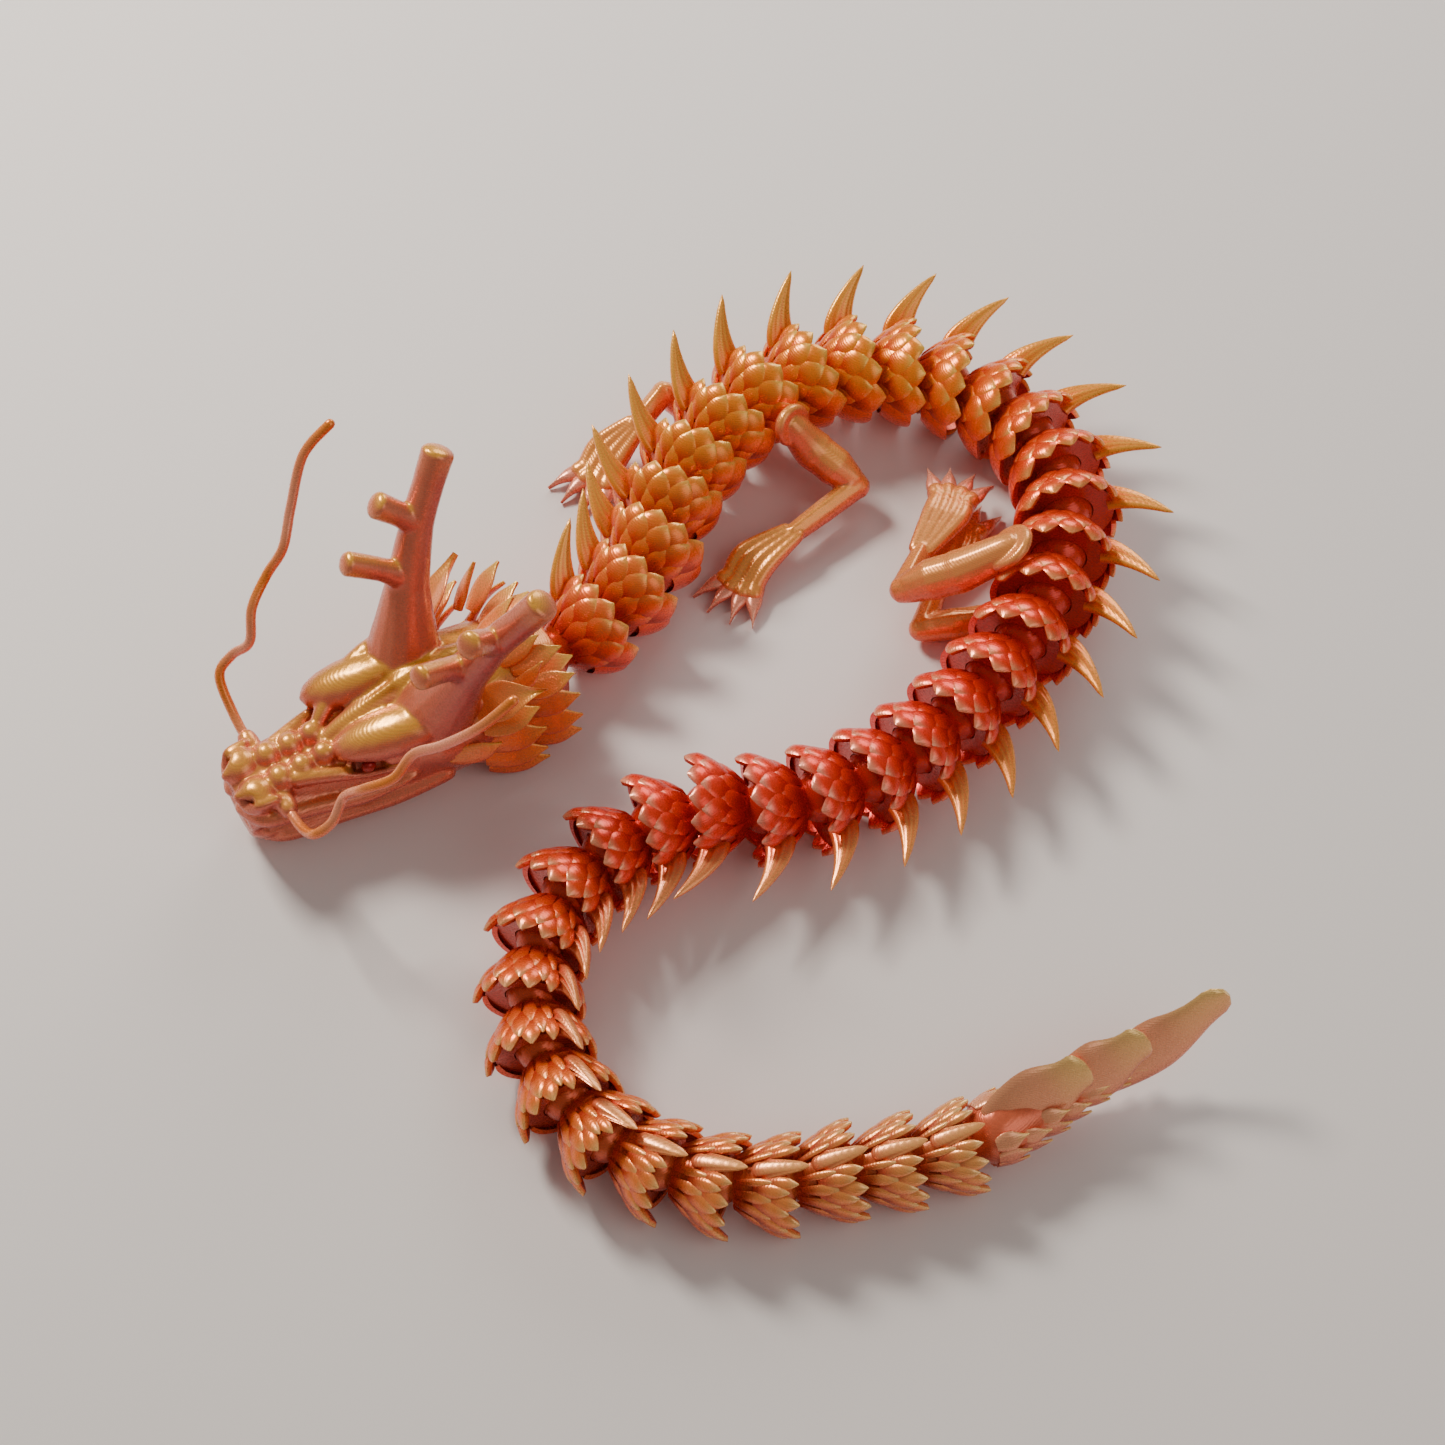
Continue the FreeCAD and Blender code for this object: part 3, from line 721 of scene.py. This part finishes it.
def head_skin():
    """The head melted from its lumps, then mouth, eye sockets, nostrils and grain cut in; painted
    shade darkens the cuts and the throat.
    """
    mesh, points = melted(head_lumps(), "head_skin", 0.55, 5)
    normals = normals_of(mesh)
    count = len(points)
    dark = np.zeros(count)
    for side in (-1, 1):
        def at(*p):
            return mirrored(p, side)
        mouth = [at(91, 3, 14), at(87, 9.6, 13.4), at(76, 12.2, 12.6), at(62, 14.8, 12.4),
                 at(50, 17.6, 14.5), at(42, 19.6, 18)]
        dark = np.maximum(dark, carve(points, normals, mouth, 1.5, 2.2))
        under = [at(78, 9.5, 22.2), at(67, 12, 20.8), at(56, 15, 19.6), at(47, 18.4, 20.4)]
        dark = np.maximum(dark, 0.7 * carve(points, normals, under, 1.2, 1.2))
        socket = [at(60, 11.5, 25.4), at(55, 13.6, 25.2)]
        dark = np.maximum(dark, carve(points, normals, socket, 2.3, 2.2))
        hole = [at(91.2, 6.6, 26.6), at(89.5, 7.6, 27.4)]
        dark = np.maximum(dark, carve(points, normals, hole, 1.6, 2.6))
        behind = [at(66, 3.0, 32), at(56, 1.4, 35.0), at(44, 2.2, 37)]
        dark = np.maximum(dark, 0.5 * carve(points, normals, behind, 1.6, 1.0))
        for n in range(4):
            fold = [at(72 - 7 * n, 12.4 + 0.7 * n, 6), at(68 - 7 * n, 13.6 + 0.8 * n, 4)]
            carve(points, normals, fold, 1.0, 0.5)
        for turn in (-0.9, 0.0, 0.9):
            grain = [at(p[0] + 3.4 * turn, p[1] + 3.2 * turn - 2.0, p[2]) for p in HORN[1:]]
            carve(points, normals, grain, 0.8, 0.35)
    # open the throat for the first link's ball
    mouth_of_neck = points[:, 0] < 8
    centre = np.array([0, 0, CENTRES[0].z - HEAD_FRAME.translation.z])
    away = points - centre
    off_axis = np.linalg.norm(away[:, 1:], axis=1)
    pull = mouth_of_neck & (off_axis < 9.5)
    bowl = 11.5 * np.sqrt(np.maximum(0, 1 - (off_axis[pull] / 9.6) ** 2))
    points[pull, 0] = np.maximum(points[pull, 0], -3 + bowl)
    # painted shade inside the opened throat
    dark[pull] = 1.0
    points[:, 2] = np.maximum(points[:, 2], 0.1)
    # painted gold highlight on faces that point up, high on the head
    up = smooth(0.62, 0.97, normals[:, 2])
    high = smooth(14, 34, points[:, 2])
    shade = toward(tinted(count, ROSE), MAUVE, 0.8 * smooth(30, 60, points[:, 2]) + 0.2)
    shade = toward(shade, (0.62, 0.13, 0.06), smooth(18, 2, points[:, 2]) * 0.6)
    lit = toward(tinted(count, BLUSH), GOLD_HIGHLIGHT, 0.10 + 0.70 * up * high)
    tips = np.full(count, 99.0)
    for side in (-1, 1):
        for end in (HORN[-1], LOW_TINE[-1], MID_TINE[-1]):
            gap = np.linalg.norm(points - np.array(mirrored(end, side)), axis=1)
            tips = np.minimum(tips, gap)
    shade = toward(shade, (0.70, 0.28, 0.08), 0.7 * smooth(9, 2, tips))
    # painted shade in the cuts and the throat
    shade = toward(shade, (0.16, 0.008, 0.008), 0.85 * dark)
    lit = toward(lit, (0.35, 0.03, 0.02), 0.8 * dark)
    set_points(mesh, points, HEAD_FRAME)
    skin = finish_skin(mesh, "head_skin", "head", shade, lit)
    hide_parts("head")


MANE = [  # root, bend, tip: forward, left, up; half width
    ((12, 15, 28), (6, 18.5, 32), (0, 21, 35.5), 3.4),
    ((16, 15, 32), (12, 17.5, 37), (8, 18.5, 44), 2.2),
    ((12, 8, 30), (6, 10, 33), (-1, 12, 36), 3.6),
    ((15, 5, 31), (9, 6, 34), (3, 7, 38), 3.0),
    ((10, 0, 30), (4, 0, 33), (-3, 0, 35), 3.4),
    ((13, 16, 22), (6, 19.5, 24.5), (-1, 21, 25), 3.8),
    ((13, 17, 15), (6, 20, 16), (-1, 21.5, 15.5), 3.8),
    ((13, 15.5, 8), (6, 18.5, 7.5), (-1, 20, 6), 3.4),
    ((26, 18, 26), (19, 21.5, 29), (12, 23.5, 32), 3.8),
    ((26, 18.5, 19), (18, 22, 20.5), (11, 24, 22), 4.0),
    ((27, 18, 12), (19, 21.5, 12), (11, 23.5, 11.5), 3.8),
    ((8, 9, 26), (2, 11, 28), (-4, 12, 29), 3.2),
    ((37, 18, 20), (30, 21.5, 22), (24, 23.5, 24.5), 3.0),
    ((26, 17, 6), (18, 20, 5), (10, 22, 4), 3.2),
]
EAR = ((26, 15.5, 32), (19, 20, 37), (10, 25, 41))
EAR_WIDTH = 5.2


def head_trim():
    """Mane tufts, cheek frill, leaf ears and the eyes; upper tufts lie flat, the rest upright."""
    build = Build()
    # painted shade, painted light, and a painted highlight towards the tips
    colours = ((0.76, 0.10, 0.05), (0.98, 0.30, 0.07), (1.0, 0.60, 0.10))
    for side in (-1, 1):
        for root, bend, tip, width in MANE:
            on_cheek = root[1] > 12 and root[2] < 24
            outward = (0.2, 0.9 * side, 0.45) if on_cheek else (0.3, 0.3 * side, 0.9)
            leaf(build, [mirrored(p, side) for p in (root, bend, tip)], width, 1.5, outward,
                 colours, curl=0.12, point=0.6)
        leaf(build, [mirrored(p, side) for p in EAR], EAR_WIDTH, 1.5, (0.5, 0.35 * side, 0.8),
             colours, grooves=2, curl=0.28)
        # eye: a lump in the dark painted shade colour
        lump(build, mirrored((57.5, 12.4, 25.2), side), [(2.1, 0, 0), (0, 1.6, 0), (0, 0, 1.9)])
    piece = build.object("mane_and_frill", HEAD_FRAME, sharp=60)
    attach(piece, "head")


def whisker(name, side):
    """Wavy round rod from its hole in the snout, banded pink and orange up its length."""
    build, ring, bands = Build(), 20, 2.6
    tube(build, [mirrored(p, side) for p in WHISKER], [WHISKER_RADIUS] * len(WHISKER), ring=ring,
         steps=10)
    rows = len(build.points) // ring
    for at in range(rows):
        band = 0.5 + 0.5 * math.cos(2 * math.pi * bands * at / rows)
        for n in range(at * ring, at * ring + ring):
            build.shade[n] = mix((0.72, 0.10, 0.015), (0.80, 0.16, 0.09), band)
            build.lit[n] = mix((0.95, 0.26, 0.03), (0.98, 0.36, 0.20), band)
    rod = build.object(name + "_rod", HEAD_FRAME, sharp=80)
    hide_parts(name)
    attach(rod, name)


# ------------------------------------------------------------------ legs
# link, side, bends, toe direction, sole height; a bend is tail-ward of the hub, outward from the
# body, above the floor, thickness
LEGS = {
    "leg_front_left": (FRONT_LEG_LINK, -1, [(3, 9, 17.0, 4.8), (6, 23, 9.5, 4.0),
                       (-19, 20, 8.5, 3.2), (-31, 17, 5.5, 3.6)], (-12, 2), 1.0),
    "leg_front_right": (FRONT_LEG_LINK, 1, [(-3, 15, 4.6, 3.6), (-10, 21, 16.0, 3.8),
                        (-22, 21, 11.5, 3.2), (-31, 23, 6.0, 3.4)], (-14, -2), 1.0),
    "leg_rear_left": (REAR_LEG_LINK, -1, [(6, 14, 24.0, 5.0), (11, 28, 16.0, 4.2),
                      (-5, 27, 13.0, 3.2), (-19, 24, 12.0, 3.4)], (-15, 0), 9.0),
    "leg_rear_right": (REAR_LEG_LINK, 1, [(7, -12, 4.6, 3.8), (15, -27, 5.4, 4.0),
                       (-3, -26.5, 4.8, 3.1), (-14, -25, 4.5, 3.2)], (-15, -1), 1.2),
}
HIPS = {"leg_rear_left": 7.6, "leg_front_left": 6.2, "leg_front_right": 4.8, "leg_rear_right": 4.8}
LEG_SHADE, LEG_LIT = (0.74, 0.085, 0.04), (0.96, 0.27, 0.12)
# claws: painted shade, painted light, and a painted highlight towards the tips
CLAW = ((0.66, 0.13, 0.085), (0.95, 0.36, 0.22), (1.0, 0.55, 0.36))


def leg(name):
    """Pivot disc, muscled limb and four tendoned toes melted together; claws set in cuffs."""
    number, side, bends, toe_run, sole = LEGS[name]
    joint = JOINTS[name + "_pivot"]
    hub, out = Vector(joint["pos_m"]) / MM, Vector(joint["axis"])
    way = CENTRES[number] - CENTRES[number - 1]
    along = Vector((way.x, way.y, 0)).normalized()
    outward = Vector((-along.y, along.x, 0)) * side
    base = Vector((hub.x, hub.y, 0))
    spots = [base + along * run + outward * off + Vector((0, 0, up)) for run, off, up, _ in bends]
    sizes = [size for *_, size in bends]
    hip = HIPS[name]
    build = Build()
    start = hub + out * 0.35
    tube(build, [start + out * 0.9, start + out * 1.5], [0.9, 0.9], ring=8, steps=2)
    rows = []
    near = out.cross(Vector((0.3, 0.2, 1))).normalized()
    far = out.cross(near)
    disc = ((0.0, 0.3), (0.0, 4.4), (1.0, 5.0), (2.0, hip), (3.6, hip), (4.4, hip - 0.9),
            (4.6, 0.3))
    ring = 28
    for lift, wide in disc:
        rows.append([tuple(start + out * lift + (near * math.cos(a) + far * math.sin(a)) * wide)
                     for a in turns(ring)])
    first = build.grid(rows, DEEP_SHADE, DEEP_SHADE, round_v=True)
    build.cap(first, ring, True)
    build.cap(first + (len(disc) - 1) * ring, ring)
    tube(build, [start + out * 2.6, spots[0], spots[1]],
         [hip * 0.62, sizes[0] * 1.25, sizes[1] * 0.95])
    middle = (spots[0] + spots[1]) / 2 + Vector((0, 0, 0.4))
    tube(build, [spots[0], middle, spots[1]], [sizes[0] * 1.15, sizes[0] * 1.2, sizes[1] * 0.85])
    elbow = spots[1] + (spots[1] - spots[2]).normalized() * 2.2
    tube(build, [elbow, spots[1], (spots[1] + spots[2]) / 2, spots[2]],
         [1.6, sizes[1] * 0.9, sizes[2] * 1.08, sizes[2] * 0.9])
    palm = spots[3]
    tube(build, [spots[2], (spots[2] + palm) / 2, palm],
         [sizes[2] * 0.85, sizes[2] * 0.8, sizes[3] * 0.85], flat=0.8)
    forward = (along * toe_run[0] + outward * toe_run[1]).normalized()
    across = Vector((0, 0, 1)).cross(forward)
    claws, toes = Build(), []
    for spread in (-1.5, -0.5, 0.5, 1.5):
        toe = (forward + across * spread * 0.38).normalized()
        knuckle = palm + toe * 8.2 + Vector((0, 0, sole + 2.7 - palm.z))
        back = spots[2] + across * spread * 1.5 + Vector((0, 0, 1.2))
        top = palm + across * spread * 3.0 + Vector((0, 0, 1.4))
        tube(build, [back, top, knuckle], [1.7, 2.4, 2.6], ring=12)
        cuff = palm + toe * 9.2 + Vector((0, 0, sole + 2.4 - palm.z))
        tube(build, [cuff - toe * 1.2, cuff + toe * 0.8], [3.05, 2.85], ring=14, steps=2)
        toes.append((back, top, knuckle))
        tip = palm + toe * 20.0 + Vector((0, 0, sole - 0.2 - palm.z))
        mid = (cuff + tip) / 2 + Vector((0, 0, 0.9))
        leaf(claws, [cuff - toe * 1.0, mid, tip], 2.7, 2.4, (0, 0, 1), CLAW, grooves=0, point=0.15)
    mesh, points = melted(build, name + "_limb", 0.42, 3)
    normals = normals_of(mesh)
    count = len(points)
    dark = np.zeros(count)
    for (back, top, knuckle), (back2, top2, knuckle2) in zip(toes, toes[1:]):
        valley = [tuple((a + b) / 2) for a, b in ((back, back2), (top, top2), (knuckle, knuckle2))]
        dark = np.maximum(dark, carve(points, normals, valley, 0.7, 0.5))
    shin = [tuple(spots[1] * (1 - t) + spots[2] * t + Vector((0, 0, sizes[1] * 0.8)))
            for t in (0.1, 0.5, 1.0)]
    carve(points, normals, shin, 1.0, -0.6)
    seam = [tuple(start + out * 3.0), tuple(spots[0] + Vector((0, 0, sizes[0]))),
            tuple(spots[1] + Vector((0, 0, sizes[1])))]
    carve(points, normals, seam, 1.1, -0.5)
    points[:, 2] = np.maximum(points[:, 2], FLOOR_GAP)
    up = smooth(0.3, 0.95, normals[:, 2])
    shade = tinted(count, LEG_SHADE)
    # painted gold highlight on faces that point up
    lit = toward(tinted(count, LEG_LIT), GOLD_HIGHLIGHT, 0.5 * up)
    if number == REAR_LEG_LINK:
        shade = toward(shade, (0.66, 0.09, 0.03), np.full(count, 0.6))
        lit = toward(lit, (0.93, 0.34, 0.10), np.full(count, 0.5))
    # painted shade in the valleys between the toes
    shade, lit = toward(shade, DEEP_SHADE, 0.8 * dark), toward(lit, (0.6, 0.1, 0.03), 0.7 * dark)
    set_points(mesh, points)
    limb = finish_skin(mesh, name + "_limb", name, shade, lit)
    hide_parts(name)
    nails = claws.object(name + "_claws", sharp=70)
    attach(nails, name)


# ------------------------------------------------------------------ tail tip
TAIL_TURN = 12.0       # degrees the tip turns on from the last link
# (x, z) run of each fin
TAIL_FINS = [((10, 3), (20, 6.5), (28, 9.5), (36, 13.4)),
             ((27, 2.5), (38, 6.5), (45, 9), (53, 13.4)),
             ((40, 0.5), (54, 4), (64, 8), (75.5, 17.4))]
# (x, radius under the small scales)
TAIL_TAPER = [(0, 8.6), (12, 8.6), (22, 6.8), (38, 3.9), (53, 1.6), (60, 1.2)]


def tail_tip():
    """Ball and tapering root under small pointed scales, with three broad fins rising off it."""
    size = radius_at(LINKS)
    way = CENTRES[LINKS] - CENTRES[LINKS - 1]
    heading = math.atan2(way.y, way.x) + math.radians(TAIL_TURN)
    place = chain_frame(CENTRES[LINKS], Vector((math.cos(heading), math.sin(heading), 0)), 0)
    build = Build()
    profile = ball_profile(BALL * size)
    profile += [(6.4, 6.4), (8, 7.8), (12, 8.6), (17, 8.0), (22, 6.8), (30, 5.2), (38, 3.9),
                (46, 2.5), (53, 1.4), (57, 0.2)]
    rows = [[around(x, max(r, 0.01), 10.0 * step) for step in range(36)] for x, r in profile]
    shade = SHADE[-1][1]
    # the root under the small scales is in painted shade
    build.grid(rows, mix(DEEP_SHADE, shade, 0.5), shade, round_v=True)
    root = build.object("tail_root", place, sharp=60)
    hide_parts("tail_tip")
    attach(root, "tail_tip")
    fins = Build()
    # fin colours: painted shade, painted light, and a painted highlight towards the tips
    colours = ((0.78, 0.17, 0.10), (0.98, 0.42, 0.20), (1.0, 0.66, 0.20))
    for n, spine in enumerate(TAIL_FINS):
        leaf(fins, [(x, 0, z) for x, z in spine], 9.5 - 0.8 * n, 2.4, (0, 0.80, -0.60), colours,
             grooves=4, point=0.90)
    low = [(8, 0, -5), (26, 0, -4.4), (44, 0, -2.6), (62, 0, 2.5)]
    leaf(fins, low, 3.4, 3.2, (0, 1, 0), colours, grooves=4)
    piece = fins.object("tail_fins", place, sharp=60)
    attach(piece, "tail_tip")
    small = Build()
    for row in range(7):
        x = 8 + 6.3 * row
        around_r = between(TAIL_TAPER, x + 2)
        for side in (-1, 1):
            for n in range(4 if row < 4 else 3):
                middle = (46 + 30 * n + 15 * (row % 2)) * side
                if abs(middle) > 150:
                    continue
                root = around(x, around_r - 0.9, middle)
                bend = around(x + 4.2, around_r * 0.98 + 0.5, middle)
                tip = around(x + 8.4, around_r * 0.93 + 1.3, middle)
                leaf(small, [root, bend, tip], 1.5 + 0.13 * around_r, 0.9,
                     around(0, 1, middle), colours, grooves=2)
    piece = small.object("tail_scales", place, sharp=60)
    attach(piece, "tail_tip")


# ------------------------------------------------------------------ build everything
for link_number in range(1, LINKS + 1):
    core(link_number)
    scales(link_number)
    belly(link_number)
    blade(link_number)
head_skin()
head_trim()
for leg_name in LEGS:
    leg(leg_name)
tail_tip()
whisker("whisker_left", 1)
whisker("whisker_right", -1)


# ------------------------------------------------------------------ floor, light and camera
def floor():
    """Plain pale floor, eight metres across."""
    mesh = bpy.data.meshes.new("floor")
    mesh.from_pydata([(-4, -4, 0), (4, -4, 0), (4, 4, 0), (-4, 4, 0)], [], [(0, 1, 2, 3)])
    piece = bpy.data.objects.new("floor", mesh)
    bpy.context.scene.collection.objects.link(piece)
    material = bpy.data.materials.new("floor_paper")
    material.use_nodes = True
    shader = material.node_tree.nodes["Principled BSDF"]
    shader.inputs["Base Color"].default_value = (0.90, 0.84, 0.80, 1)
    shader.inputs["Roughness"].default_value = 0.7
    mesh.materials.append(material)


def lamp(name, place, size, power, colour=(1, 1, 1)):
    """Square lamp aimed at the middle of the floor."""
    light = bpy.data.lights.new(name, "AREA")
    light.size, light.energy, light.color = size, power, colour
    holder = bpy.data.objects.new(name, light)
    holder.location = place
    holder.rotation_euler = (-Vector(place)).to_track_quat("-Z", "Y").to_euler()
    bpy.context.scene.collection.objects.link(holder)


def camera():
    """Looks along +Y and down 58 degrees at a point over the middle of the coil."""
    tilt, distance, lens = math.radians(58), 0.7155, 66.0
    first = CENTRES[0] * MM
    aim = Vector((first.x + 0.0496, first.y - 0.0186, 0.012))
    seen = bpy.data.cameras.new("camera")
    seen.lens, seen.sensor_width = lens, 36.0
    holder = bpy.data.objects.new("camera", seen)
    holder.location = aim + Vector((0, -math.cos(tilt), math.sin(tilt))) * distance
    holder.rotation_euler = (math.pi / 2 - tilt, 0, 0)
    bpy.context.scene.collection.objects.link(holder)
    bpy.context.scene.camera = holder


floor()
lamp("key", (-0.50, 0.50, 0.70), 0.24, 9, (1.0, 0.95, 0.88))
lamp("fill", (0.7, -0.5, 0.8), 0.8, 2.4, (1.0, 0.93, 0.90))
lamp("rim", (0.3, 0.9, 0.5), 0.5, 3.5)
world = bpy.data.worlds.new("soft")
world.use_nodes = True
world.node_tree.nodes["Background"].inputs[0].default_value = (1.0, 0.95, 0.92, 1)
world.node_tree.nodes["Background"].inputs[1].default_value = 0.22
bpy.context.scene.world = world
camera()
